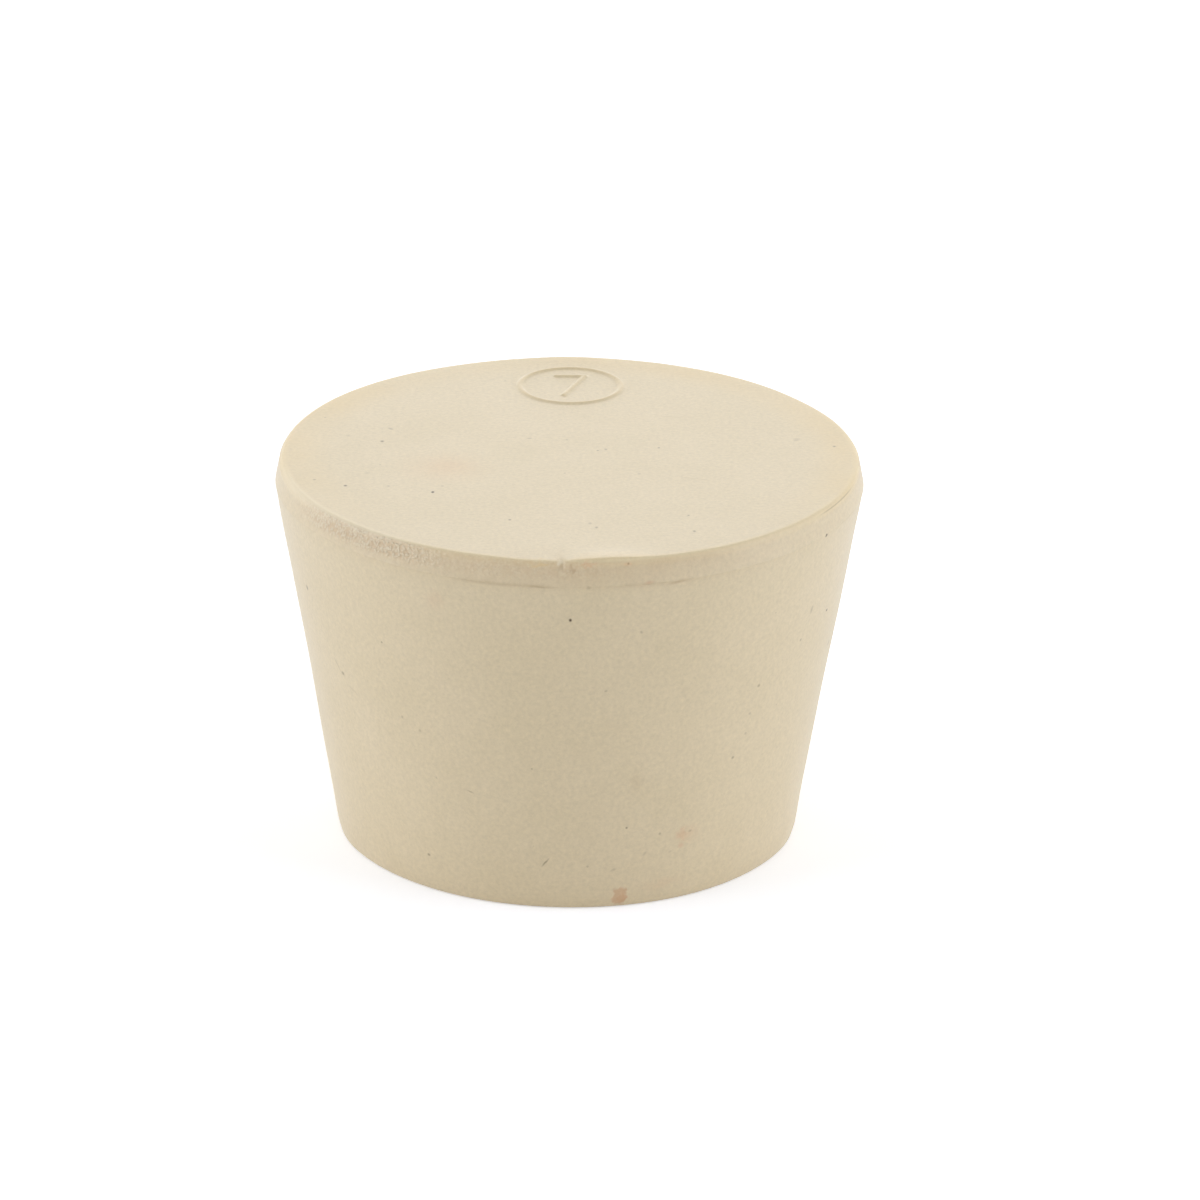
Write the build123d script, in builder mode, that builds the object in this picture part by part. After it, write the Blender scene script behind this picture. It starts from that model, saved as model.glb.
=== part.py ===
"""Solid rubber stopper for the neck of a laboratory flask or bottle, standard size 7.

One compression moulded piece of filled natural rubber, with no bore through it. The tapered
plug was formed in the lower half of the mould and the shallow crown in the upper half, so the
two meet at the widest diameter, where the flash was trimmed off and left a small step.

The narrow end stands on the origin with the stopper's axis along +Z. Sizes are in millimetres.
"""

import os
from math import atan2, cos, radians, sin, sqrt

from build123d import *

# Overall form
length = 25.0
widest_diameter = 37.3
bottom_diameter = 29.4

# Crown, the shallow cone between the parting line and the top face
crown_height = 1.6
crown_inset = 0.37
flash_step = 0.07

# Edges
bottom_edge_radius = 0.3
top_edge_break = 0.1

# Raised size mark on the top face, a ring with the numeral 7 in it
ring_diameter = 7.0
ring_width = 0.42
ring_edge_gap = 1.9
mark_height = 0.2
numeral_width = 2.3
numeral_gap = 0.75
numeral_stroke = 0.52

# Nick that the trimming knife left in the rim of the top face
nick_azimuth = -91.4
nick_width = 0.55
nick_depth = 0.3
nick_reach = 0.45

# Worked out from the sizes above
widest_radius = widest_diameter / 2
bottom_radius = bottom_diameter / 2
face_radius = widest_radius - crown_inset
plug_top_radius = widest_radius - flash_step
parting_height = length - crown_height
ring_radius = ring_diameter / 2
mark_centre = (0, face_radius - ring_edge_gap - ring_radius)

# The numeral 7 is as tall as fits inside the ring with an even gap to its corners. Its leg leans
# from the right end of the bar to a foot just left of centre, and is as thick as the bar.
numeral_corner = ring_radius - ring_width - numeral_gap
numeral_right = numeral_width / 2
numeral_top = sqrt(numeral_corner**2 - numeral_right**2)
numeral_under_bar = numeral_top - numeral_stroke
numeral_foot_x = -numeral_width / 12
leg_lean = atan2(numeral_right - numeral_foot_x, numeral_under_bar + numeral_top)
leg_width = numeral_stroke / cos(leg_lean)

# The rim nick is a V that is deepest at the outside and runs out on the top face.
rim_x = face_radius * cos(radians(nick_azimuth))
rim_y = face_radius * sin(radians(nick_azimuth))
nick_plane = Plane(
    origin=(rim_x, rim_y, length),
    x_dir=(-sin(radians(nick_azimuth)), cos(radians(nick_azimuth)), 0),
    z_dir=(-rim_x * nick_reach / face_radius, -rim_y * nick_reach / face_radius, nick_depth),
)

with BuildPart() as stopper:
    # Half section, revolved: flat ends, tapered plug, step at the parting line, crown
    with BuildSketch(Plane.XZ):
        with BuildLine():
            Polyline(
                (0, 0),
                (bottom_radius, 0),
                (plug_top_radius, parting_height),
                (widest_radius, parting_height),
                (face_radius, length),
                (0, length),
                close=True,
            )
        make_face()
    revolve(axis=Axis.Z)

    # The moulded lower edge is rounded, and the trimmed upper one has just lost its sharpness
    circles = stopper.edges().filter_by(GeomType.CIRCLE).group_by(Axis.Z)
    fillet(circles[0], radius=bottom_edge_radius)
    chamfer(circles[-1], length=top_edge_break)

    # Nick in the rim, cut before the mark so that the mark stays whole
    with BuildSketch(nick_plane):
        with BuildLine():
            Polyline(
                (0, -nick_depth),
                (nick_width, nick_depth),
                (-nick_width, nick_depth),
                close=True,
            )
        make_face()
    extrude(amount=nick_reach, both=True, mode=Mode.SUBTRACT)

    # Raised ring
    with BuildSketch(Plane(origin=(*mark_centre, length))):
        Circle(ring_radius)
        Circle(ring_radius - ring_width, mode=Mode.SUBTRACT)
    extrude(amount=mark_height)

    # Raised numeral
    with BuildSketch(Plane(origin=(*mark_centre, length))):
        with BuildLine():
            Polyline(
                (-numeral_right, numeral_top),
                (-numeral_right, numeral_under_bar),
                (numeral_right - leg_width, numeral_under_bar),
                (numeral_foot_x - leg_width, -numeral_top),
                (numeral_foot_x, -numeral_top),
                (numeral_right, numeral_under_bar),
                (numeral_right, numeral_top),
                close=True,
            )
        make_face()
    extrude(amount=mark_height)

stopper.part.label = "stopper"

os.makedirs("parts", exist_ok=True)
export_step(stopper.part, "parts/stopper.step")
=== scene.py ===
"""Looks of a size 7 laboratory stopper, moulded in filled natural rubber.

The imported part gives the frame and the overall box. The stopper is made again here as one closed
skin with the small faults that moulding and trimming leave, and it is dressed in one material.
Lengths in the classes are millimetres and angles are degrees. The meshes are in metres.
"""

from __future__ import annotations

import logging
import math
from dataclasses import dataclass
from enum import Enum
from typing import Any

import bpy
import numpy as np
from bpy.types import Material, NodeSocket, NodeTree, Object
from mathutils import Matrix, Quaternion, Vector, noise
from mathutils.geometry import delaunay_2d_cdt

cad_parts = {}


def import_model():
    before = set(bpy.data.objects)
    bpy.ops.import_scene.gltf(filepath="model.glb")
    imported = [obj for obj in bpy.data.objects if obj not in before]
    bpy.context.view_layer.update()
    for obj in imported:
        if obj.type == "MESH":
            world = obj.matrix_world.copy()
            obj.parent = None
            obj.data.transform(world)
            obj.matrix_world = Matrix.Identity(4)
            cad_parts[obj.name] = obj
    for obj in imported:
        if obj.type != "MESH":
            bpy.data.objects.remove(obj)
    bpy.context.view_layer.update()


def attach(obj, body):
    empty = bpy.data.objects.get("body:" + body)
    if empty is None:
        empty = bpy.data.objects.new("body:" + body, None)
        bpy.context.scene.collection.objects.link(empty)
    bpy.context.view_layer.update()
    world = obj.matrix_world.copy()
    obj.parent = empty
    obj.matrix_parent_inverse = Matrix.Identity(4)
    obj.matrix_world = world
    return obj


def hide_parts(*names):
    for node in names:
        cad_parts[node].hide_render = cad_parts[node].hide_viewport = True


LOG = logging.getLogger("stopper")
MM = 0.001
NODE = "stopper"
WHITE = (1, 1, 1, 1)
MIDDLE_HEIGHT = 12.5

Points = list[tuple[float, float]]
Faces = list[tuple[int, ...]]

# Where the wall has rows of points just below and just above the parting line
BELOW_PARTING = (0.14, 0.08, 0.035)
ABOVE_PARTING = (0.0, 0.03, 0.07, 0.12)
# Rings of points beside the edge of the top face and of the narrow end: how far inside the edge
# each ring lies, and how many of the wall's columns share one of its points
FACE_EDGE_RINGS = ((0.12, 1), (0.26, 1), (0.44, 2), (0.7, 2), (1.1, 4), (1.7, 4), (2.5, 6))
BASE_EDGE_RINGS = ((0.14, 1), (0.4, 2), (0.85, 4), (1.6, 6))
# Circles of points beside the middle of the raised ring, and the grid of points inside it
RIDGE_CIRCLES = (-0.42, -0.3, -0.22, -0.15, -0.08, 0.0, 0.08, 0.15, 0.22, 0.3, 0.42)
RIDGE_POINTS = 180
RIDGE_MARGIN = 0.5
NUMERAL_GRID = 0.075


def linear(hex_colour: str) -> tuple[float, float, float, float]:
    """Turns an sRGB hex colour into the linear colour that Blender's sockets take.

    Args:
        hex_colour: Colour such as "#D9C9A7".

    Returns:
        Linear red, green, blue and an alpha of 1.
    """
    parts = [int(hex_colour[i : i + 2], 16) / 255 for i in (1, 3, 5)]
    red, green, blue = (
        p / 12.92 if p <= 0.04045 else ((p + 0.055) / 1.055) ** 2.4 for p in parts
    )
    return red, green, blue, 1.0


def add(tree: NodeTree, kind: str, inputs: dict | None = None, **settings: Any) -> Any:
    """Adds one node to a tree with its settings and links.

    Args:
        tree: Node tree.
        kind: Node type without its "ShaderNode" prefix.
        inputs: Socket name or number to a value, or to the output socket that is linked to it.
        **settings: Properties of the node.

    Returns:
        The new node.
    """
    node = tree.nodes.new("ShaderNode" + kind)
    for name, value in settings.items():
        setattr(node, name, value)
    for key, value in (inputs or {}).items():
        if isinstance(value, NodeSocket):
            tree.links.new(value, node.inputs[key])
        else:
            node.inputs[key].default_value = value
    return node


def maths(tree: NodeTree, operation: str, *values: Any, **settings: Any) -> NodeSocket:
    """Adds a Math node.

    Args:
        tree: Node tree.
        operation: What the node works out.
        *values: Its inputs, numbers or sockets.
        **settings: Other properties of the node.

    Returns:
        The result.
    """
    return add(tree, "Math", dict(enumerate(values)), operation=operation, **settings).outputs[0]


def ramp(
    tree: NodeTree,
    value: NodeSocket,
    low: float = 0.0,
    high: float = 1.0,
    start: Any = 0.0,
    end: Any = 1.0,
    smooth: bool = False,
) -> NodeSocket:
    """Adds a node that runs from one value to another as its input runs from low to high.

    Args:
        tree: Node tree.
        value: Input.
        low: Input at which the result is start.
        high: Input at which the result is end.
        start: Result at low and beyond, a number or socket.
        end: Result at high and beyond, a number or socket.
        smooth: Whether the slope eases in and out.

    Returns:
        The result.
    """
    inputs = {0: value, 1: low, 2: high, 3: start, 4: end}
    kind = "SMOOTHSTEP" if smooth else "LINEAR"
    return add(tree, "MapRange", inputs, interpolation_type=kind).outputs[0]


def seen_directly(tree: NodeTree) -> NodeSocket:
    """Masks the rays that show a thing straight, in a reflection or through something clear.

    Args:
        tree: Node tree.

    Returns:
        The mask, 0 for rays that only light something else.
    """
    rays = add(tree, "LightPath").outputs
    seen = maths(tree, "MAXIMUM", rays["Is Camera Ray"], rays["Is Glossy Ray"])
    return maths(tree, "MAXIMUM", seen, rays["Is Transmission Ray"])


def circle_points(radius: float, turns: np.ndarray) -> Points:
    """Gives the points of a circle at some turns, in radians."""
    return [(radius * math.cos(t), radius * math.sin(t)) for t in turns]


def inner_circles(first: float, last: float, gap: float, spacing: float) -> Points:
    """Lays circles of points inside one another, each turned a little.

    Args:
        first: Radius of the smallest.
        last: Radius that the largest stays within.
        gap: Distance from circle to circle.
        spacing: Distance from point to point.

    Returns:
        The points.
    """
    fewest, turn_a_millimetre = 6, 0.37
    points: Points = []
    for radius in np.arange(first, last, gap):
        count = max(fewest, round(2 * math.pi * radius / spacing))
        turns = (np.arange(count) + turn_a_millimetre * radius) * 2 * math.pi / count
        points += circle_points(radius, turns)
    return points


def turn_between(azimuth: np.ndarray, centre: float) -> np.ndarray:
    """Gives the signed turn from a centre to each azimuth, from -180 to 180 degrees."""
    return (azimuth - centre + 180.0) % 360.0 - 180.0


def bell(distance: np.ndarray, reach: float) -> np.ndarray:
    """Gives a smooth hump, 1 at no distance and about a third at the reach."""
    return np.exp(-((distance / reach) ** 2))


def smooth_step(value: np.ndarray, low: float, high: float) -> np.ndarray:
    """Gives 0 below low and 1 above high, with an even slope between."""
    t = np.clip((value - low) / (high - low), 0.0, 1.0)
    return t * t * (3.0 - 2.0 * t)


@dataclass(frozen=True)
class Swell:
    """A place where the wall stands proud of the true cone, or is hollow.

    Args:
        azimuth: Middle of the place, with -90 at the front.
        height: Its height above the narrow end.
        turn: Its reach to each side.
        rise: Its reach up and down.
        proud: How far it stands out, negative where it is hollow.
    """

    azimuth: float
    height: float
    turn: float
    rise: float
    proud: float


@dataclass(frozen=True)
class Heave:
    """A place where the knife ran high or low along the rim of the top face.

    Args:
        azimuth: Middle of the place.
        turn: Its reach to each side.
        lift: How far the rim is raised, negative where it is low.
    """

    azimuth: float
    turn: float
    lift: float


@dataclass
class StopperSkin:
    """The whole stopper as one closed skin: flat ends, tapered plug, crown, mark and nick."""

    length: float = 25.0
    widest_radius: float = 18.65
    bottom_radius: float = 14.7
    face_radius: float = 18.36
    crown_height: float = 1.6
    bottom_edge: float = 0.3
    top_edge: float = 0.26
    columns: int = 840

    # The upper half of the wall stands proud of a straight cone
    belly: float = 0.09
    belly_heights: tuple[float, float] = (9.5, 17.0)
    # Step where the flash was trimmed, and the share of it that the knife took at the sides
    flash_step: float = 0.055
    step_azimuth: float = -88.0
    step_loss: float = 0.55
    step_turns: tuple[float, float] = (24.0, 50.0)
    # How far in from the rim the top face follows the rim's heaves
    heave_reach: tuple[float, float] = (0.1, 2.2)

    ring_radius: float = 3.29
    ridge_width: float = 0.44
    mark_height: float = 0.12
    mark_y: float = 12.88
    numeral_half_width: float = 0.92
    numeral_half_height: float = 1.78
    numeral_foot: float = -0.42

    nick_azimuth: float = -91.4
    nick_width: float = 0.6
    nick_depth: float = 0.3
    nick_reach: float = 0.45
    nick_height: float = 0.9
    nick_inward: float = 0.25

    # Crumbly rubber: each stretch's azimuth, reach to each side and share of the relief, then
    # the relief, and how many coarse and fine grains a millimetre has
    crumbly: tuple[tuple[float, float, float], ...] = ((-127, 13, 1.0), (-100, 14, 0.35))
    crumb_relief: float = 0.055
    crumb_grains: tuple[float, float] = (3.1, 6.3)

    swells: tuple[Swell, ...] = (
        Swell(180, 21.5, 32, 2.4, 0.05),
        Swell(180, 14.5, 34, 4.0, -0.04),
        Swell(180, 6.5, 30, 3.0, 0.025),
        Swell(-18, 0.9, 12, 1.3, 0.13),
        Swell(-162, 0.8, 9, 1.3, 0.08),
        Swell(-133, 1.0, 16, 5.0, -0.05),
        Swell(-66, 1.0, 22, 6.0, 0.06),
        Swell(4, 22.6, 16, 1.1, 0.03),
        Swell(-20, 24.66, 20, 0.14, -0.04),
        Swell(60, 12.0, 40, 6.0, 0.04),
        Swell(110, 7.0, 30, 5.0, -0.04),
    )
    heaves: tuple[Heave, ...] = (
        Heave(90, 80, 0.035),
        Heave(114, 12, -0.035),
        Heave(90, 7, 0.045),
        Heave(35, 9, -0.045),
        Heave(-98, 4.5, -0.045),
        Heave(-91.5, 2.0, -0.09),
        Heave(-82.0, 7.5, 0.16),
        Heave(-140, 8, 0.02),
        Heave(-55, 7, -0.02),
        Heave(150, 15, 0.03),
    )

    def azimuths(self) -> np.ndarray:
        """Gives the azimuth of each column of the wall, in degrees."""
        return np.arange(self.columns) * 360.0 / self.columns - 180.0

    def parting_height(self) -> float:
        """Gives the height of the parting line."""
        return self.length - self.crown_height

    def wall_radius(self, height: float) -> float:
        """Finds the true radius of the wall, without the edges' rounding.

        Args:
            height: Height above the narrow end.

        Returns:
            The radius there.
        """
        parting = self.parting_height()
        if height > parting:
            rise = (height - parting) / self.crown_height
            return self.widest_radius + (self.face_radius - self.widest_radius) * rise
        plug_top = self.widest_radius - self.flash_step
        return self.bottom_radius + (plug_top - self.bottom_radius) * height / parting

    def profile(self) -> np.ndarray:
        """Lays out the wall's half section from the narrow end to the rim.

        Returns:
            Rows of radius and height.
        """
        parting = self.parting_height()
        plug_top = self.widest_radius - self.flash_step
        slope = (plug_top - self.bottom_radius) / parting
        crown_slope = (self.widest_radius - self.face_radius) / self.crown_height
        bottom_steps, plug_steps, crown_steps, top_steps = 6, 46, 18, 9
        plug_end = parting - 0.25
        rows: Points = []
        for degrees in np.linspace(-90, -math.degrees(math.atan(slope)), bottom_steps):
            turn = math.radians(degrees)
            inside = self.bottom_edge * (1 - math.cos(turn))
            rows.append((self.bottom_radius - inside, self.bottom_edge * (1 + math.sin(turn))))
        for height in np.linspace(rows[-1][1], plug_end, plug_steps)[1:]:
            rows.append((self.bottom_radius + slope * height, height))
        for drop in BELOW_PARTING:
            rows.append((plug_top - slope * drop, parting - drop))
        rows.append((plug_top + 0.015, parting - 0.008))
        higher = np.linspace(ABOVE_PARTING[-1], self.crown_height - self.top_edge, crown_steps)[1:]
        for rise in (*ABOVE_PARTING, *higher):
            rows.append((self.widest_radius - crown_slope * rise, parting + rise))
        for degrees in np.linspace(0, 90, top_steps)[1:]:
            turn = math.radians(degrees)
            inside = self.top_edge * (1 - math.cos(turn))
            below = self.top_edge * (1 - math.sin(turn))
            rows.append((self.face_radius - inside, self.length - below))
        return np.array(rows)

    def relief(
        self, azimuth: np.ndarray, radius: np.ndarray, height: np.ndarray
    ) -> tuple[np.ndarray, np.ndarray]:
        """Moves points of the true form to where moulding and trimming left them.

        Args:
            azimuth: Azimuth of each point.
            radius: True radius of each point.
            height: True height of each point.

        Returns:
            The radius and height of each point on the real stopper.
        """
        parting = self.parting_height()
        out = np.zeros_like(radius)
        for swell in self.swells:
            around = bell(turn_between(azimuth, swell.azimuth), swell.turn)
            out += swell.proud * around * bell(height - swell.height, swell.rise)
        out += self.belly * smooth_step(height, *self.belly_heights)
        # The flash step fades away towards the sides and the back, where the knife cut closer.
        aside = np.abs(turn_between(azimuth, self.step_azimuth))
        faded = self.step_loss * smooth_step(aside, *self.step_turns)
        out -= faded * self.flash_step * smooth_step(height, parting - 0.02, parting)

        lift = np.zeros_like(radius)
        for heave in self.heaves:
            lift += heave.lift * bell(turn_between(azimuth, heave.azimuth), heave.turn)
        inward = self.face_radius - radius
        on_face = 1.0 - smooth_step(inward, *self.heave_reach)
        on_crown = np.clip((height - parting) / self.crown_height, 0.0, 1.0)
        raised = lift * np.where(height > self.length - 0.3, on_face, on_crown)

        along = np.radians(turn_between(azimuth, self.nick_azimuth)) * radius
        vee = np.clip(1.0 - np.abs(along) / (self.nick_width / 2), 0.0, 1.0)
        runs_out = np.clip(1.0 - inward / self.nick_reach, 0.0, 1.0)
        cut = self.nick_depth * vee * runs_out
        cut = cut * smooth_step(height, self.length - self.nick_height, self.length)
        # The middle of the narrow end stays where it is.
        wall = smooth_step(radius, self.bottom_radius - 2.5, self.bottom_radius - 0.3)
        return radius + (out - self.nick_inward * cut) * wall, height + raised - cut

    def crumble(self, azimuth: np.ndarray, height: np.ndarray) -> np.ndarray:
        """Gives how far the short, crumbly rubber stands out beside the rim at the left front.

        Args:
            azimuth: Azimuth of each point.
            height: Height of each point.

        Returns:
            Distance outward of each point.
        """
        along = sum(
            share * bell(turn_between(azimuth, centre), reach)
            for centre, reach, share in self.crumbly
        )
        parting = self.parting_height()
        up = smooth_step(height, parting - 0.5, parting + 0.6)
        weight = along * up * (1 - smooth_step(height, self.length - 0.2, self.length))
        coarse, fine = self.crumb_grains
        least, fine_share, around = 0.02, 0.6, 18.6
        out = np.zeros_like(height)
        for index in np.flatnonzero(weight > least):
            turn = math.radians(azimuth.flat[index])
            spot = Vector((math.cos(turn) * around, math.sin(turn) * around, height.flat[index]))
            grain = noise.noise(spot * coarse) + fine_share * noise.noise(spot * fine)
            out.flat[index] = self.crumb_relief * weight.flat[index] * grain
        return out

    def mark_relief(self, x: np.ndarray, y: np.ndarray) -> np.ndarray:
        """Gives the height of the raised ring and numeral over the top face.

        Args:
            x: Left to right place of each point.
            y: Front to back place of each point.

        Returns:
            Height of the round-topped ridges at each point.
        """
        away = np.abs(np.hypot(x, y - self.mark_y) - self.ring_radius)
        top, foot = self.mark_y + self.numeral_half_height, self.mark_y - self.numeral_half_height
        corners = ((-self.numeral_half_width, top), (self.numeral_half_width, top))
        strokes = [Vector(p) for p in (*corners, (self.numeral_foot, foot))]
        for start, end in zip(strokes, strokes[1:]):
            run = end - start
            t = ((x - start.x) * run.x + (y - start.y) * run.y) / run.length_squared
            t = np.clip(t, 0.0, 1.0)
            away = np.minimum(away, np.hypot(x - start.x - t * run.x, y - start.y - t * run.y))
        crest, edge = 0.04, self.ridge_width / 2 + 0.06
        return self.mark_height * (1.0 - smooth_step(away, crest, edge))

    def face_points(self) -> np.ndarray:
        """Scatters points over the top face, close together at the rim and on the mark.

        Returns:
            Rows of x and y, without the rim itself.
        """
        rim = self.face_radius - self.top_edge
        points: Points = []
        for inward, every in FACE_EDGE_RINGS:
            count = self.columns // every
            turns = (np.arange(count) + 0.5 * (every > 1)) * 2 * math.pi / count
            points += circle_points(rim - inward, turns)
        points += inner_circles(0.9, rim - 2.9, 0.9, 0.95)
        clear = self.ring_radius + RIDGE_MARGIN
        points = [p for p in points if math.hypot(p[0], p[1] - self.mark_y) > clear]
        turns = np.arange(RIDGE_POINTS) * 2 * math.pi / RIDGE_POINTS
        for aside in RIDGE_CIRCLES:
            circle = circle_points(self.ring_radius + aside, turns)
            points += [(x, self.mark_y + y) for x, y in circle]
        inside = self.ring_radius - RIDGE_MARGIN
        for x in np.arange(-inside, inside, NUMERAL_GRID):
            for y in np.arange(-inside, inside, NUMERAL_GRID):
                if math.hypot(x, y) < inside:
                    points.append((x, self.mark_y + y))
        return np.array(points)

    def base_points(self, rim: float) -> np.ndarray:
        """Scatters points over the narrow end.

        Args:
            rim: Radius of the circle that bounds it.

        Returns:
            Rows of x and y, without the circle itself.
        """
        points: Points = []
        for inward, every in BASE_EDGE_RINGS:
            turns = (np.arange(self.columns // every) + 0.5) * 2 * math.pi * every / self.columns
            points += circle_points(rim - inward, turns)
        return np.array(points + inner_circles(1.0, rim - 2.2, 1.1, 1.1))

    def wall_faces(self, rows: int) -> Faces:
        """Joins the rows of points of the wall.

        Args:
            rows: How many rows there are.

        Returns:
            Four-sided faces.
        """
        count = self.columns
        faces: Faces = []
        for row in range(rows - 1):
            low, high = row * count, (row + 1) * count
            for column in range(count):
                after = (column + 1) % count
                faces.append((low + column, low + after, high + after, high + column))
        return faces

    def end(self, radius: float, upward: bool) -> tuple[np.ndarray, Faces]:
        """Makes a flat end inside its rounded edge.

        Args:
            radius: Radius of the circle that bounds it.
            upward: Whether it is the top face, which has the mark, or the narrow end.

        Returns:
            The points inside the circle, and triangles that number the circle's points first.
        """
        turn = np.radians(self.azimuths())
        rim = np.stack([radius * np.cos(turn), radius * np.sin(turn)], axis=-1)
        inner = self.face_points() if upward else self.base_points(radius)
        flat = [Vector(p) for p in np.vstack([rim, inner])]
        made = delaunay_2d_cdt(flat, [], [], 0, 1e-9)
        triangles = [tuple(f) if upward else tuple(reversed(f)) for f in made[2]]
        inside = np.array([tuple(v) for v in made[0]])[self.columns :]
        true_radius = np.hypot(inside[:, 0], inside[:, 1])
        azimuth = np.degrees(np.arctan2(inside[:, 1], inside[:, 0]))
        level = np.full(len(inside), self.length if upward else 0.0)
        real_radius, height = self.relief(azimuth, true_radius, level)
        if upward:
            height = height + self.mark_relief(inside[:, 0], inside[:, 1])
            real_radius = true_radius
        grow = (real_radius / np.maximum(true_radius, 1e-6))[:, None]
        return np.column_stack([inside * grow, height]), triangles

    def build(self) -> Object:
        """Builds the closed skin.

        Returns:
            The stopper's object.
        """
        rows = self.profile()
        count = self.columns
        azimuth = np.repeat(self.azimuths()[None, :], len(rows), axis=0)
        radius = np.repeat(rows[:, :1], count, axis=1)
        height = np.repeat(rows[:, 1:], count, axis=1)
        radius, height = self.relief(azimuth, radius, height)
        radius = radius + self.crumble(azimuth, height)
        turn = np.radians(azimuth)
        wall = np.stack([radius * np.cos(turn), radius * np.sin(turn), height], axis=-1)
        vertices = [wall.reshape(-1, 3)]
        faces = self.wall_faces(len(rows))
        total = len(rows) * count
        for upward in (True, False):
            ring = len(rows) - 1 if upward else 0
            inside, triangles = self.end(rows[ring, 0], upward)
            first, shift = ring * count, total - count
            for triangle in triangles:
                faces.append(tuple(first + v if v < count else shift + v for v in triangle))
            vertices.append(inside)
            total += len(inside)
        mesh = bpy.data.meshes.new("stopper_skin")
        mesh.from_pydata((np.vstack(vertices) * MM).tolist(), [], faces)
        mesh.validate()
        mesh.shade_smooth()
        made = bpy.data.objects.new("stopper_skin", mesh)
        bpy.context.scene.collection.objects.link(made)
        return made

    def dress(self, made: Object, material: Material) -> None:
        """Gives the skin its material and its place in the part.

        Args:
            made: The stopper's object.
            material: The rubber.
        """
        made.data.materials.append(material)
        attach(made, "root")
        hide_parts(NODE)


class Place(Enum):
    """Which surface of the stopper a mark lies on."""

    FACE = "top face"
    WALL = "side"


@dataclass(frozen=True)
class Blemish:
    """A speck, stain or scratch in the surface.

    Args:
        place: Surface that it lies on.
        across: On the face, its x. On the wall, its azimuth.
        up: On the face, its y. On the wall, its height.
        length: Its size along its own long way.
        width: Its size across that.
        lean: Turn of its long way, counterclockwise as seen from outside, with 0 level.
        strength: How much of the mark's colour covers the rubber at its middle.
        colour: That colour.
        soft: Width of its faded edge, as a share of its size.
    """

    place: Place
    across: float
    up: float
    length: float
    width: float
    lean: float
    strength: float
    colour: str = "#5E4520"
    soft: float = 0.8

    def is_large(self) -> bool:
        """Tells whether its edge wanders by much."""
        return max(self.length, self.width) > 0.75 and self.width > 0.3

    def frame(self, skin: StopperSkin) -> tuple[Vector, Matrix]:
        """Finds where the mark is and how it lies.

        Args:
            skin: The stopper.

        Returns:
            Its middle, and the turn from its own axes to the stopper's.
        """
        if self.place is Place.FACE:
            middle = Vector((self.across, self.up, skin.length))
            east, rise = Vector((1, 0, 0)), Vector((0, 1, 0))
        else:
            turn = math.radians(self.across)
            radius = skin.wall_radius(self.up)
            middle = Vector((radius * math.cos(turn), radius * math.sin(turn), self.up))
            east, rise = Vector((-math.sin(turn), math.cos(turn), 0)), Vector((0, 0, 1))
        lean = math.radians(self.lean)
        long_way = east * math.cos(lean) + rise * math.sin(lean)
        outward = east.cross(rise)
        return middle, Matrix((long_way, outward.cross(long_way), outward)).transposed()


def marks(*rows: tuple) -> tuple[Blemish, ...]:
    """Makes a blemish from the fields in each row."""
    return tuple(Blemish(*row) for row in rows)


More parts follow.
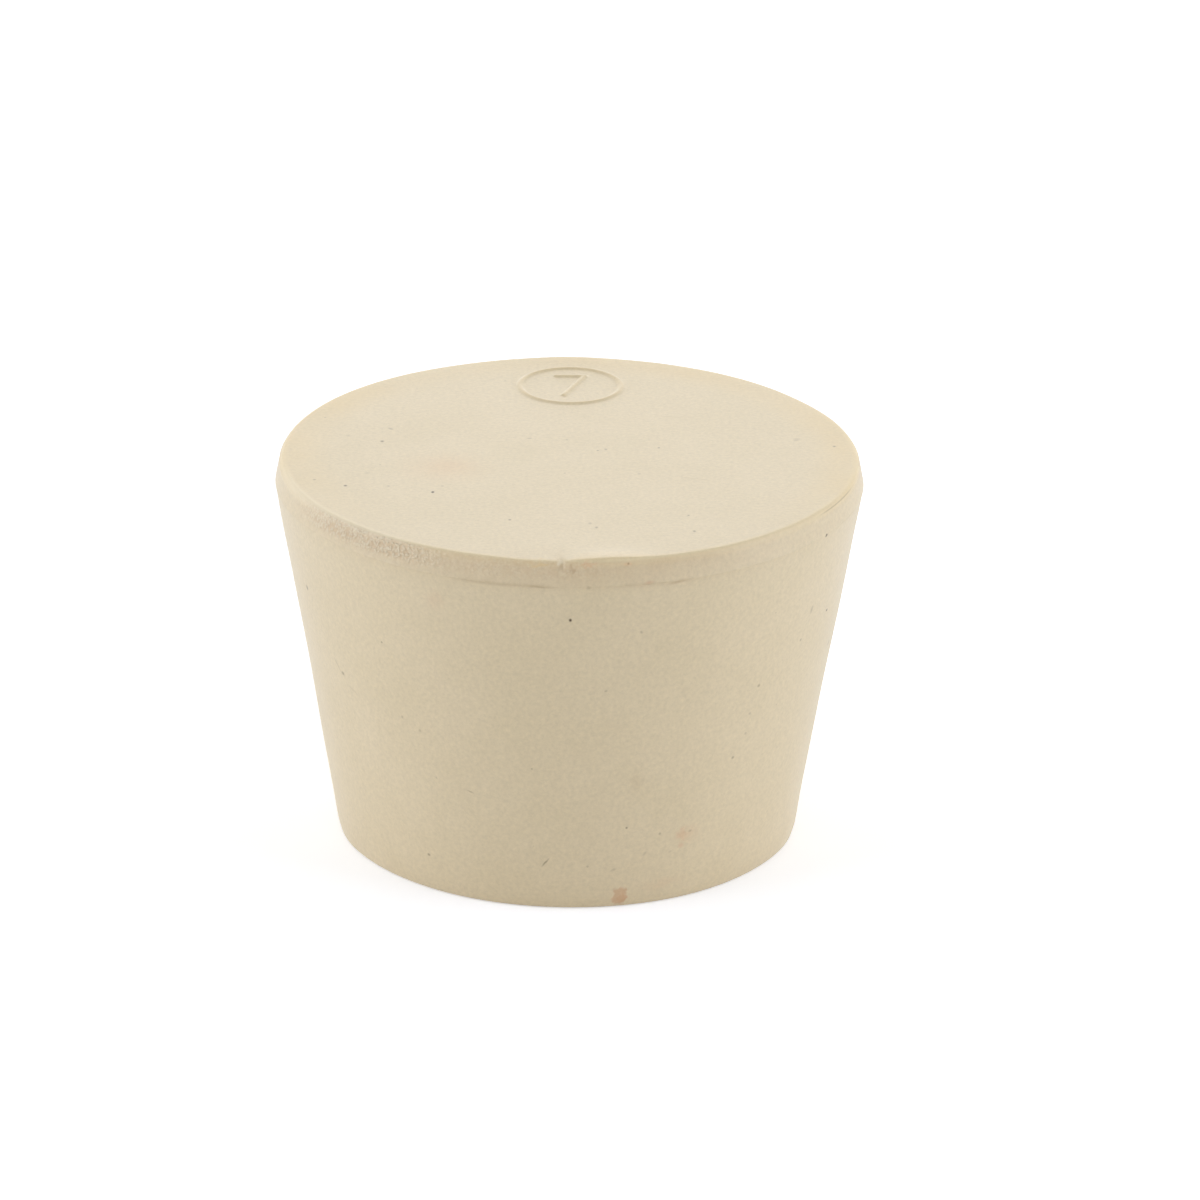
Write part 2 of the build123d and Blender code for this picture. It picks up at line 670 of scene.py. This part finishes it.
FACE, WALL = Place
SPECKS = marks(
    (FACE, -11.5, 4.6, 0.55, 0.3, -50, 0.3),
    (FACE, -12.0, 2.3, 0.28, 0.4, 0, 0.6),
    (FACE, -16.1, -4.7, 0.24, 0.3, 0, 0.35),
    (FACE, -14.1, -5.7, 0.26, 0.36, 0, 0.75),
    (FACE, -11.4, -5.7, 0.22, 0.25, 0, 0.3),
    (FACE, -8.6, -6.7, 0.24, 0.44, 0, 1.0, "#4E3A1E"),
    (FACE, -8.0, -5.6, 0.24, 0.28, 0, 0.25),
    (FACE, -2.6, 3.1, 0.4, 0.35, 0, 0.22),
    (FACE, -0.2, 2.9, 0.2, 0.25, 0, 0.25),
    (FACE, -12.8, -3.4, 0.3, 0.35, 0, 0.15),
    (FACE, -14.2, 3.3, 0.3, 0.4, 0, 0.14),
    (FACE, 2.3, 1.2, 0.22, 0.3, 0, 0.35),
    (FACE, 16.9, 2.1, 0.26, 0.3, 0, 0.5),
    (FACE, 14.5, 3.3, 0.7, 0.5, 60, 0.16),
    (FACE, 4.4, -3.1, 0.24, 0.3, 0, 0.22),
    (FACE, -3.7, -11.4, 0.24, 0.3, 0, 0.5),
    (FACE, 1.3, -11.9, 0.3, 0.4, 0, 0.25),
    (FACE, 1.7, -12.6, 0.26, 0.4, 0, 0.4),
    (FACE, 7.8, -13.1, 0.26, 0.4, 0, 0.45),
    (WALL, -89.6, 21.03, 0.23, 0.3, 0, 1.0, "#4E3A1E", 0.7),
    (WALL, -30.3, 23.38, 0.32, 0.24, 0, 1.0, "#4E3A1E"),
    (WALL, -30.8, 18.27, 0.65, 0.35, 75, 0.3),
    (WALL, -22.4, 17.27, 0.34, 0.22, 0, 0.9),
    (WALL, -86.1, 23.35, 0.4, 0.3, 0, 0.3, "#8A7450"),
    (WALL, -33.3, 16.39, 0.26, 0.26, 0, 0.45),
    (WALL, -14.3, 14.04, 0.4, 0.28, 70, 0.5),
    (WALL, -7.9, 13.92, 0.75, 0.3, 75, 0.42),
    (WALL, -45.6, 14.33, 0.3, 0.3, 0, 0.4),
    (WALL, -47.0, 12.45, 0.3, 0.25, 0, 0.22),
    (WALL, -47.3, 11.04, 0.25, 0.25, 0, 0.22),
    (WALL, -50.2, 9.53, 0.26, 0.26, 0, 0.45),
    (WALL, -157.5, 18.51, 0.4, 0.3, 100, 0.7),
    (WALL, -146.4, 13.76, 0.35, 0.3, 0, 0.5),
    (WALL, -128.1, 12.39, 0.25, 0.25, 0, 0.25),
    (WALL, -123.6, 11.74, 0.26, 0.26, 0, 0.22),
    (WALL, -125.1, 2.63, 0.3, 0.25, 0, 0.5),
    (WALL, -67.8, 5.08, 0.24, 0.22, 0, 0.35),
    (WALL, -60.0, 4.9, 0.3, 0.22, 0, 0.25),
    (WALL, -71.3, 3.76, 0.4, 0.2, 55, 0.16),
    (WALL, -78.7, 2.78, 0.45, 0.2, 20, 0.22),
    (WALL, -64.8, 3.64, 0.3, 0.2, 30, 0.15),
    (WALL, -75.5, 20.0, 0.3, 0.2, -40, 0.3),
    (WALL, -82.2, 15.92, 0.25, 0.22, 0, 0.3),
    (WALL, -89.3, 24.5, 0.4, 0.9, 0, 0.26, "#A07A50"),
    (WALL, -91.6, 24.86, 0.6, 0.3, 20, 0.7, "#EFE2C4"),
)

SCRATCHES_AND_STEP_SHADOW = marks(
    # The first is painted shadow under the flash step at the front; the rest are scratches
    (WALL, -95.5, 23.36, 1.6, 0.22, -3, 0.22, "#957D52"),
    (WALL, -94.9, 3.38, 0.85, 0.14, 52, 0.6, "#7A6746"),
    (WALL, -112.1, 8.03, 0.6, 0.13, -20, 0.4, "#8F7B58"),
    (WALL, -148.0, 14.1, 1.4, 0.2, -50, 0.22, "#9A865F"),
    (WALL, -143.4, 12.9, 1.3, 0.2, -20, 0.18, "#9A865F"),
    (WALL, -132.5, 16.0, 0.5, 0.2, 95, 0.18, "#9A865F"),
    (FACE, 7.9, -3.9, 2.6, 0.22, -18, 0.2, "#B7A274"),
    (FACE, 6.8, 7.25, 3.2, 0.3, -2, 0.12, "#B7A274"),
)

STAINS = marks(
    (FACE, -7.9, -2.3, 6.2, 6.0, 0, 0.16, "#DBAA78", 1.0),
    (FACE, -7.6, -2.0, 3.4, 3.2, 0, 0.08, "#DBAA78", 1.0),
    (WALL, -76.8, 0.8, 1.0, 1.5, 0, 0.4, "#C2824E", 0.35),
    (WALL, -76.2, 0.6, 0.6, 0.8, 0, 0.2, "#C2824E", 0.6),
    (WALL, -62.2, 4.7, 0.9, 1.2, 0, 0.26, "#D49468", 0.7),
    (WALL, -62.0, 3.95, 0.5, 0.45, 0, 0.24, "#D49468"),
    (WALL, -60.0, 4.7, 1.6, 1.6, 0, 0.12, "#D49468", 1.0),
    (WALL, -74.4, 9.1, 0.8, 1.7, 0, 0.14, "#A98A5C", 1.0),
    (WALL, -116.9, 21.5, 1.6, 1.6, 0, 0.1, "#D39A7C", 1.0),
    (WALL, -74.6, 23.5, 0.8, 0.3, 8, 0.26, "#C88662", 1.0),
    (WALL, -68.9, 23.3, 1.6, 0.3, 8, 0.3, "#A98B62", 0.9),
    (WALL, -86.4, 24.78, 1.4, 0.34, 4, 0.32, "#E2AE86", 0.9),
    (WALL, -78.7, 24.74, 0.7, 0.26, 0, 0.3, "#E2B080", 0.9),
    (WALL, -95.5, 24.7, 1.6, 0.4, 0, 0.4, "#E3C58C"),
    (WALL, -66.0, 1.4, 3.2, 0.9, 6, 0.1, "#D29A78", 1.0),
)


@dataclass(frozen=True)
class Band:
    """A stretch of a measure, such as the azimuth, that a mask covers.

    Args:
        centre: Its middle.
        full: How far from the middle the mask is still 1.
        reach: How far from the middle the mask has faded to 0.
    """

    centre: float
    full: float
    reach: float


@dataclass(frozen=True)
class Mottle:
    """Patches that are made from a noise.

    Args:
        size: Size of the largest.
        detail: How many layers of finer patches there are.
        roughness: How strong those are.
        window: Stretch of the noise that is used.
        values: What the ends of that stretch become.
    """

    size: float
    detail: float
    roughness: float
    window: tuple[float, float]
    values: tuple[float, float] = (0.0, 1.0)


@dataclass(frozen=True)
class SkinTree:
    """Node tree of a material of the skin, with sockets for where the shaded point is.

    Args:
        tree: The tree.
        skin: The stopper.
        point: Place of the point.
        radius: Its distance from the stopper's axis.
        turn: Its azimuth, with -90 at the front.
        height: Its height above the narrow end.
    """

    tree: NodeTree
    skin: StopperSkin
    point: NodeSocket
    radius: NodeSocket
    turn: NodeSocket
    height: NodeSocket

    @classmethod
    def start(cls, tree: NodeTree, skin: StopperSkin) -> SkinTree:
        """Adds the nodes that find the shaded point.

        Args:
            tree: Empty node tree.
            skin: The stopper.

        Returns:
            The tree with its sockets.
        """
        place = add(tree, "TexCoord").outputs["Object"]
        point = add(tree, "VectorMath", {0: place, "Scale": 1 / MM}, operation="SCALE").outputs[0]
        axes = add(tree, "SeparateXYZ", {0: point}).outputs
        flat = add(tree, "CombineXYZ", {0: axes[0], 1: axes[1], 2: 0.0}).outputs[0]
        radius = add(tree, "VectorMath", {0: flat}, operation="LENGTH").outputs["Value"]
        turn = maths(tree, "DEGREES", maths(tree, "ARCTAN2", axes[1], axes[0]))
        return cls(tree, skin, point, radius, turn, axes[2])

    def mottle(self, patches: Mottle) -> NodeSocket:
        """Adds the nodes of some patches.

        Args:
            patches: What they are like.

        Returns:
            The patches.
        """
        inputs = {
            "Vector": self.point,
            "Scale": 1 / patches.size,
            "Detail": patches.detail,
            "Roughness": patches.roughness,
        }
        made = add(self.tree, "TexNoise", inputs).outputs[0]
        return ramp(self.tree, made, *patches.window, *patches.values)

    def near(self, value: NodeSocket, band: Band) -> NodeSocket:
        """Masks the places where a value is in a band.

        Args:
            value: Value to test.
            band: Where the mask is 1 and where it fades.

        Returns:
            The mask.
        """
        away = maths(self.tree, "ABSOLUTE", maths(self.tree, "SUBTRACT", value, band.centre))
        return ramp(self.tree, away, band.full, band.reach, 1.0, 0.0, smooth=True)

    def under_face(self) -> NodeSocket:
        """Masks everything but the top face."""
        top = self.skin.length
        return ramp(self.tree, self.height, top - 0.03, top - 0.12)

    def lay(
        self, below: NodeSocket, colour: str, strength: float, *masks: NodeSocket
    ) -> NodeSocket:
        """Lays a colour over another where every mask lets it show.

        Args:
            below: Colour underneath.
            colour: Colour on top.
            strength: How much of it shows where the masks are all 1.
            *masks: Masks that are multiplied.

        Returns:
            The covered colour.
        """
        cover = masks[0]
        for mask in masks[1:]:
            cover = maths(self.tree, "MULTIPLY", cover, mask)
        cover = maths(self.tree, "MULTIPLY", cover, strength, use_clamp=True)
        inputs = {0: cover, 6: below, 7: linear(colour)}
        return add(self.tree, "Mix", inputs, data_type="RGBA").outputs[2]


@dataclass(frozen=True)
class FilledNaturalRubber:
    """Cream natural rubber filled with whiting and zinc oxide, compression moulded.

    The filler makes it opaque, chalky and pale. Its skin copies a blasted steel mould, so it is
    matt head on and only shines a little where it is seen along the surface.
    """

    base: str = "#D9C8A4"
    chalky: str = "#DCCBA8"
    # Warm tone of the face's outer part, also the painted highlight on the mark's crests
    warm: str = "#E4C88F"
    # Browning of the crown, also the painted shade between the crumbs
    trimmed: str = "#BC8E60"
    # Painted highlight along the rim of the top face
    rim_highlight: str = "#EED8A4"
    # Painted highlight on the lip at the left and on the crumbs' tops
    pale: str = "#EDE0C3"
    # Painted shadow under the flash step
    shade: str = "#A08556"
    # Colour of the dust grains, also the painted shade in the crease
    dust_and_crease_shade: str = "#5E4520"
    roughness: float = 0.5
    ior: float = 1.52
    bloom: float = 0.3
    bloom_roughness: float = 0.35

    # Patches of tone
    cloudy: Mottle = Mottle(6.0, 5.0, 0.62, (0.35, 0.65))
    peppered: Mottle = Mottle(0.26, 3.0, 0.7, (0.25, 0.75), (0.92, 1.08))
    aged: Mottle = Mottle(7.0, 2.0, 0.5, (0.35, 0.65), (0.4, 1.0))
    browned: Mottle = Mottle(1.3, 3.0, 0.6, (0.3, 0.62), (0.45, 1.0))
    waver: Mottle = Mottle(2.5, 2.0, 0.5, (0.0, 1.0), (-0.09, 0.09))

    # Grain of the mould, crumbs of scorched rubber, dust inclusions, wander of a mark's edge
    moulded: Mottle = Mottle(0.2, 2.0, 0.6, (0.0, 1.0))
    grain_depth: float = 0.02
    crumb: float = 0.17
    crumb_depth: float = 0.07
    inclusion_gap: float = 1.9
    inclusion_radius: float = 0.11
    wander: float = 0.45
    small_wander: float = 0.1
    large_wander: float = 0.9

    # Stretches of azimuth
    unaged: Band = Band(-90.0, 38.0, 85.0)
    hottest: Band = Band(-102.0, 28.0, 66.0)
    pale_lip: Band = Band(-146.0, 14.0, 32.0)
    crumbly_left: Band = Band(-134.0, 8.0, 27.0)
    crumbly_front: Band = Band(-98.0, 6.0, 26.0)
    front_share: float = 0.35
    line_left: Band = Band(-102.0, 5.0, 12.0)
    line_right: Band = Band(-73.0, 5.0, 10.0)
    folded: Band = Band(-23.0, 4.0, 10.0)

    # How much of each layer's colour covers what is under it
    ageing: float = 0.36
    browning: float = 0.21
    # Share of the painted highlight along the rim
    rim_highlight_share: float = 0.28
    # Share of the paler painted highlight on the lip at the left
    lip_highlight: float = 0.5
    # Share of the painted highlight on the crests of the mark
    crest_highlight: float = 0.2
    # Painted shade between the crumbs and painted highlight on their tops
    gap_shade: float = 0.22
    crumb_highlight: float = 0.46
    # Painted shadow under the flash step, at the left front and the right front
    left_step_shadow: float = 0.2
    right_step_shadow: float = 0.12
    # Painted shade in the crease under the rim at the right
    crease_shade: float = 0.32
    dust: float = 0.55

    def build(self, skin: StopperSkin) -> Material:
        """Makes the material.

        Args:
            skin: The stopper, for the places of its parting line, rim and marks.

        Returns:
            The material.
        """
        material = bpy.data.materials.new("filled_natural_rubber_moulded")
        material.use_nodes = True
        tree = material.node_tree
        tree.nodes.clear()
        at = SkinTree.start(tree, skin)
        crumbs = self.crumb_grain(at)
        crumbly = self.crumbly_zone(at)

        colour = self.rubber_tone(at)
        colour = self.aged_rim(at, colour)
        colour = self.trimmed_band(at, colour)
        colour = self.crumb_tone(at, colour, crumbs, crumbly)
        colour = self.parting_line(at, colour)
        colour = self.crease(at, colour)
        colour = self.inclusions(at, colour)
        colour = self.blemishes(at, colour)

        fine = at.mottle(self.moulded)
        rough = ramp(tree, fine, 0.3, 0.7, self.roughness - 0.05, self.roughness + 0.05)
        inputs = {"Strength": 0.7, "Distance": self.grain_depth * MM, "Height": fine}
        bump = add(tree, "Bump", inputs).outputs[0]
        pimples = maths(tree, "MULTIPLY", crumbs, crumbly)
        inputs = {"Strength": 0.9, "Distance": self.crumb_depth * MM, "Height": pimples}
        bump = add(tree, "Bump", {**inputs, "Normal": bump}).outputs[0]
        inputs = {
            "Base Color": colour,
            "Roughness": rough,
            "IOR": self.ior,
            "Sheen Weight": self.bloom,
            "Sheen Roughness": self.bloom_roughness,
            "Normal": bump,
        }
        rubber = add(tree, "BsdfPrincipled", inputs).outputs[0]
        add(tree, "OutputMaterial", {"Surface": rubber})
        return material

    def rubber_tone(self, at: SkinTree) -> NodeSocket:
        """Makes the plain rubber, slightly cloudy from mixing and peppered by its filler.

        Args:
            at: The tree.

        Returns:
            The colour.
        """
        inputs = {0: at.mottle(self.cloudy), 6: linear(self.base), 7: linear(self.chalky)}
        tone = add(at.tree, "Mix", inputs, data_type="RGBA").outputs[2]
        inputs = {0: tone, "Scale": at.mottle(self.peppered)}
        return add(at.tree, "VectorMath", inputs, operation="SCALE").outputs[0]

    def aged_rim(self, at: SkinTree, below: NodeSocket) -> NodeSocket:
        """Warms the outer part of the top face, where air and light have aged the rubber most.

        Args:
            at: The tree.
            below: Colour so far.

        Returns:
            The new colour.
        """
        rim, top = at.skin.face_radius, at.skin.length
        outer = ramp(at.tree, at.radius, rim - 3.8, rim - 0.8, smooth=True)
        back = maths(at.tree, "SUBTRACT", 1.0, at.near(at.turn, self.unaged))
        face = ramp(at.tree, at.height, top - 0.5, top - 0.1)
        return at.lay(below, self.warm, self.ageing, outer, at.mottle(self.aged), back, face)

    def trimmed_band(self, at: SkinTree, below: NodeSocket) -> NodeSocket:
        """Browns the crown, most at the front, where the mould ran hottest, and paints highlights:
        along the rim, paler on the lip at the left, and on the crests of the mark.

        Args:
            at: The tree.
            below: Colour so far.

        Returns:
            The new colour.
        """
        rim, top = at.skin.face_radius, at.skin.length
        around = ramp(at.tree, at.near(at.turn, self.hottest), start=0.3)
        crown = ramp(at.tree, at.height, at.skin.parting_height() - 0.7, top - 0.3)
        masks = (crown, at.under_face(), around, at.mottle(self.browned))
        toned = at.lay(below, self.trimmed, self.browning, *masks)
        # Painted highlight along the rounded rim
        edge_up = at.near(at.height, Band(top - 0.1, 0.02, 0.5))
        edge_out = at.near(at.radius, Band(rim - 0.02, 0.08, 0.5))
        toned = at.lay(toned, self.rim_highlight, self.rim_highlight_share, edge_up, edge_out)
        # Paler painted highlight on the lip at the left, where the rounding catches light
        lip = at.near(at.turn, self.pale_lip)
        toned = at.lay(toned, self.pale, self.lip_highlight, edge_up, edge_out, lip)
        # Painted highlight on the crests of the raised mark
        mark = at.near(at.height, Band(top + 0.15, 0.05, 0.14))
        return at.lay(toned, self.warm, self.crest_highlight, mark)

    def crumb_grain(self, at: SkinTree) -> NodeSocket:
        """Makes the shapes of the crumbs.

        Args:
            at: The tree.

        Returns:
            Their height, from 0 between them to 1 on top.
        """
        inputs = {"Vector": at.point, "Scale": 1 / self.crumb}
        spread = add(at.tree, "TexVoronoi", inputs, feature="SMOOTH_F1").outputs["Distance"]
        return ramp(at.tree, spread, 0.65, 0.1, smooth=True)

    def crumbly_zone(self, at: SkinTree) -> NodeSocket:
        """Masks where the rubber came out crumbly, beside the rim at the left front.

        Args:
            at: The tree.

        Returns:
            The mask.
        """
        left = at.near(at.turn, self.crumbly_left)
        front = at.near(at.turn, self.crumbly_front)
        front = maths(at.tree, "MULTIPLY", front, self.front_share)
        along = maths(at.tree, "MAXIMUM", left, front)
        up = at.near(at.height, Band(at.skin.length - 0.55, 0.3, 0.9))
        up = maths(at.tree, "MULTIPLY", up, at.under_face())
        return maths(at.tree, "MULTIPLY", along, up)

    def crumb_tone(
        self, at: SkinTree, below: NodeSocket, crumbs: NodeSocket, crumbly: NodeSocket
    ) -> NodeSocket:
        """Paints shade in the gaps between the crumbs and paints a highlight on their tops.

        Args:
            at: The tree.
            below: Colour so far.
            crumbs: Height of the crumbs.
            crumbly: Where there are crumbs.

        Returns:
            The new colour.
        """
        # Painted shade in the gaps, painted highlight on the crumbs' tops
        gaps = maths(at.tree, "SUBTRACT", 1.0, crumbs)
        toned = at.lay(below, self.trimmed, self.gap_shade, gaps, crumbly)
        return at.lay(toned, self.pale, self.crumb_highlight, crumbs, crumbly)

    def parting_line(self, at: SkinTree, below: NodeSocket) -> NodeSocket:
        """Paints the shadow that the flash step casts below itself, in two stretches.

        Args:
            at: The tree.
            below: Colour so far.

        Returns:
            The new colour.
        """
        # Painted shadow where the crown overhangs the plug
        level = maths(at.tree, "ADD", at.height, at.mottle(self.waver))
        line = at.near(level, Band(at.skin.parting_height() - 0.02, 0.02, 0.24))
        left, right = at.near(at.turn, self.line_left), at.near(at.turn, self.line_right)
        toned = at.lay(below, self.shade, self.left_step_shadow, line, left)
        return at.lay(toned, self.shade, self.right_step_shadow, line, right)

    def crease(self, at: SkinTree, below: NodeSocket) -> NodeSocket:
        """Paints shade in the crease that a folded lip left along the rim at the right.

        Args:
            at: The tree.
            below: Colour so far.

        Returns:
            The new colour.
        """
        # Painted shade in the crease under the rim
        line = at.near(at.height, Band(at.skin.length - 0.2, 0.01, 0.06))
        along = at.near(at.turn, self.folded)
        return at.lay(below, self.dust_and_crease_shade, self.crease_shade, line, along)

    def inclusions(self, at: SkinTree, below: NodeSocket) -> NodeSocket:
        """Scatters grains of dust that were moulded in, thinly and at random.

        Args:
            at: The tree.
            below: Colour so far.

        Returns:
            The new colour.
        """
        inputs = {"Vector": at.point, "Scale": 1 / self.inclusion_gap}
        cells = add(at.tree, "TexVoronoi", inputs).outputs
        size = self.inclusion_radius / self.inclusion_gap
        dot = ramp(at.tree, cells["Distance"], size * 0.4, size, 1.0, 0.0, smooth=True)
        chance = add(at.tree, "SeparateColor", {0: cells["Color"]}).outputs[0]
        return at.lay(below, self.dust_and_crease_shade, self.dust, dot, ramp(at.tree, chance, 0.45))

    def wandering(self, at: SkinTree, distance: float) -> NodeSocket:
        """Moves the shaded point about a little, so that a mark's edge isn't even.

        Args:
            at: The tree.
            distance: How far the point moves.

        Returns:
            The moved point.
        """
        inputs = {"Vector": at.point, "Scale": 1 / self.wander, "Detail": 2.0}
        drift = add(at.tree, "TexNoise", inputs).outputs["Color"]
        middle = {0: drift, 1: (0.5, 0.5, 0.5)}
        drift = add(at.tree, "VectorMath", middle, operation="SUBTRACT").outputs[0]
        scaled = {0: drift, "Scale": distance}
        drift = add(at.tree, "VectorMath", scaled, operation="SCALE").outputs[0]
        return add(at.tree, "VectorMath", {0: at.point, 1: drift}, operation="ADD").outputs[0]

    def blemishes(self, at: SkinTree, below: NodeSocket) -> NodeSocket:
        """Lays on each stain, scratch and speck, and the painted shadow under the flash step at
        the front.

        Args:
            at: The tree.
            below: Colour so far.

        Returns:
            The new colour.
        """
        small = self.wandering(at, self.small_wander)
        large = self.wandering(at, self.large_wander)
        colour = below
        for mark in STAINS + SCRATCHES_AND_STEP_SHADOW + SPECKS:
            middle, turned = mark.frame(at.skin)
            inputs = {
                "Vector": large if mark.is_large() else small,
                "Location": middle,
                "Rotation": turned.to_euler(),
                "Scale": (mark.length / 2, mark.width / 2, max(mark.length, mark.width)),
            }
            local = add(at.tree, "Mapping", inputs, vector_type="TEXTURE").outputs[0]
            away = add(at.tree, "VectorMath", {0: local}, operation="LENGTH").outputs["Value"]
            inner, outer = 1.0 - mark.soft, 1.0 + 0.3 * mark.soft
            mask = ramp(at.tree, away, inner, outer, 1.0, 0.0, smooth=True)
            colour = at.lay(colour, mark.colour, mark.strength, mask)
        return colour


@dataclass(frozen=True)
class PaperSweep:
    """A sheet of white paper that the stopper stands on."""

    reach: float = 2500.0
    sunk: float = 0.02
    paper: str = "#F4F4F4"
    # The lamps fade with distance, so the paper's own glow rises to keep it white to its edge
    glow: float = 0.35
    far_glow: float = 0.65
    glow_rises: tuple[float, float] = (250.0, 900.0)
    # Glow of the paper where it only lights other things
    bounce: float = 0.075

    def build(self) -> Object:
        """Builds and dresses the sheet.

        Returns:
            The sheet's object.
        """
        half, low = self.reach * MM, -self.sunk * MM
        corners = [(-half, -half, low), (half, -half, low), (half, half, low), (-half, half, low)]
        mesh = bpy.data.meshes.new("paper_sweep")
        mesh.from_pydata(corners, [], [(0, 1, 2, 3)])
        sheet = bpy.data.objects.new("paper_sweep", mesh)
        bpy.context.scene.collection.objects.link(sheet)
        sheet.data.materials.append(self.finish())
        return sheet

    def finish(self) -> Material:
        """Makes the white paper, which shows white to the eye and in reflections.

        Returns:
            The material.
        """
        material = bpy.data.materials.new("white_paper")
        material.use_nodes = True
        tree = material.node_tree
        tree.nodes.clear()
        place = add(tree, "TexCoord").outputs["Object"]
        away = add(tree, "VectorMath", {0: place}, operation="LENGTH").outputs["Value"]
        start, end = self.glow_rises
        white = ramp(tree, away, start * MM, end * MM, self.glow, self.far_glow)
        glow = ramp(tree, seen_directly(tree), start=self.bounce, end=white)
        light = add(tree, "Emission", {"Color": WHITE, "Strength": glow}).outputs[0]
        inputs = {"Color": linear(self.paper), "Roughness": 0.5}
        paper = add(tree, "BsdfDiffuse", inputs).outputs[0]
        both = add(tree, "AddShader", {0: paper, 1: light}).outputs[0]
        add(tree, "OutputMaterial", {"Surface": both})
        return material


@dataclass(frozen=True)
class Softbox:
    """A square of cloth with a lamp behind it.

    Args:
        name: What it is called.
        azimuth: Where it stands round the stopper, with -90 at the front.
        elevation: Its height in degrees above the table.
        distance: How far it stands from the stopper.
        width: Its width.
        height: Its height.
        radiance: How bright its cloth is, where 1 is white.
        tint: Colour of its light.
    """

    name: str
    azimuth: float
    elevation: float
    distance: float
    width: float
    height: float
    radiance: float
    tint: str = "#FFFFFF"

    def build(self) -> Object:
        """Places the lamp.

        Returns:
            The lamp's object.
        """
        lamp = bpy.data.lights.new(self.name, "AREA")
        lamp.shape = "RECTANGLE"
        lamp.size = self.width * MM
        lamp.size_y = self.height * MM
        lamp.energy = self.radiance * math.pi * lamp.size * lamp.size_y
        lamp.color = linear(self.tint)[:3]
        made = bpy.data.objects.new(self.name, lamp)
        turn, rise = math.radians(self.azimuth), math.radians(self.elevation)
        level = math.cos(rise)
        away = Vector((math.cos(turn) * level, math.sin(turn) * level, math.sin(rise)))
        made.location = Vector((0, 0, MIDDLE_HEIGHT * MM)) + away * self.distance * MM
        made.rotation_mode = "QUATERNION"
        made.rotation_quaternion = away.to_track_quat("Z", "Y")
        made.visible_camera = False
        bpy.context.scene.collection.objects.link(made)
        return made


@dataclass(frozen=True)
class Studio:
    """The light tent round the stopper: a dim front, and bright cloth at the sides and behind."""

    ambient: float = 0.445
    boxes: tuple[Softbox, ...] = (
        Softbox("softbox_left", -172, 20, 420, 420, 420, 2.07, "#E7EDFF"),
        Softbox("softbox_right", -8, 20, 420, 420, 420, 2.07, "#E7EDFF"),
        Softbox("softbox_behind", 90, 24, 520, 900, 380, 1.35, "#FFFCF6"),
        Softbox("softbox_over", 90, 80, 480, 420, 420, 0.1),
    )

    def build(self) -> None:
        """Builds the lamps and the white surroundings."""
        for box in self.boxes:
            box.build()
        world = bpy.data.worlds.new("light_tent")
        bpy.context.scene.world = world
        world.use_nodes = True
        tree = world.node_tree
        tree.nodes.clear()
        level = ramp(tree, seen_directly(tree), start=self.ambient)
        air = add(tree, "Background", {"Color": WHITE, "Strength": level}).outputs[0]
        add(tree, "OutputWorld", {"Surface": air})


@dataclass(frozen=True)
class ViewCamera:
    """A long lens from a little above, with the stopper left of and below the middle."""

    target_height: float = 12.6
    distance: float = 530.1
    elevation: float = 21.92
    roll: float = 0.528
    lens: float = 247.7
    shift: tuple[float, float] = (0.02659, 0.03042)
    sensor: float = 36.0
    clip: tuple[float, float] = (0.01, 20.0)

    def build(self) -> Object:
        """Places the camera and makes it the scene's.

        Returns:
            The camera's object.
        """
        data = bpy.data.cameras.new("view_camera")
        data.lens = self.lens
        data.sensor_width = self.sensor
        data.shift_x, data.shift_y = self.shift
        data.clip_start, data.clip_end = self.clip
        camera = bpy.data.objects.new("view_camera", data)
        rise = math.radians(self.elevation)
        back = Vector((0.0, -math.cos(rise), math.sin(rise)))
        camera.location = Vector((0, 0, self.target_height * MM)) + back * self.distance * MM
        camera.rotation_mode = "QUATERNION"
        level = (-back).to_track_quat("-Z", "Y")
        camera.rotation_quaternion = level @ Quaternion((0, 0, 1), math.radians(self.roll))
        bpy.context.scene.collection.objects.link(camera)
        bpy.context.scene.camera = camera
        return camera


def main() -> None:
    """Builds the stopper, its table, lights and camera, and reports each."""
    logging.basicConfig(level=logging.INFO, format="%(name)s: %(message)s")
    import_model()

    skin = StopperSkin()
    stopper = skin.build()
    skin.dress(stopper, FilledNaturalRubber().build(skin))
    LOG.info("%s: %d faces", stopper.name, len(stopper.data.polygons))

    sheet = PaperSweep().build()
    LOG.info("%s: %.1f m across", sheet.name, sheet.dimensions.x)
    studio = Studio()
    studio.build()
    LOG.info("lamps: %d", len(studio.boxes))
    camera = ViewCamera().build()
    LOG.info("%s: %.1f mm lens", camera.name, camera.data.lens)

    bpy.context.scene.view_settings.view_transform = "Standard"
    bpy.context.view_layer.update()


if __name__ == "__main__":
    main()
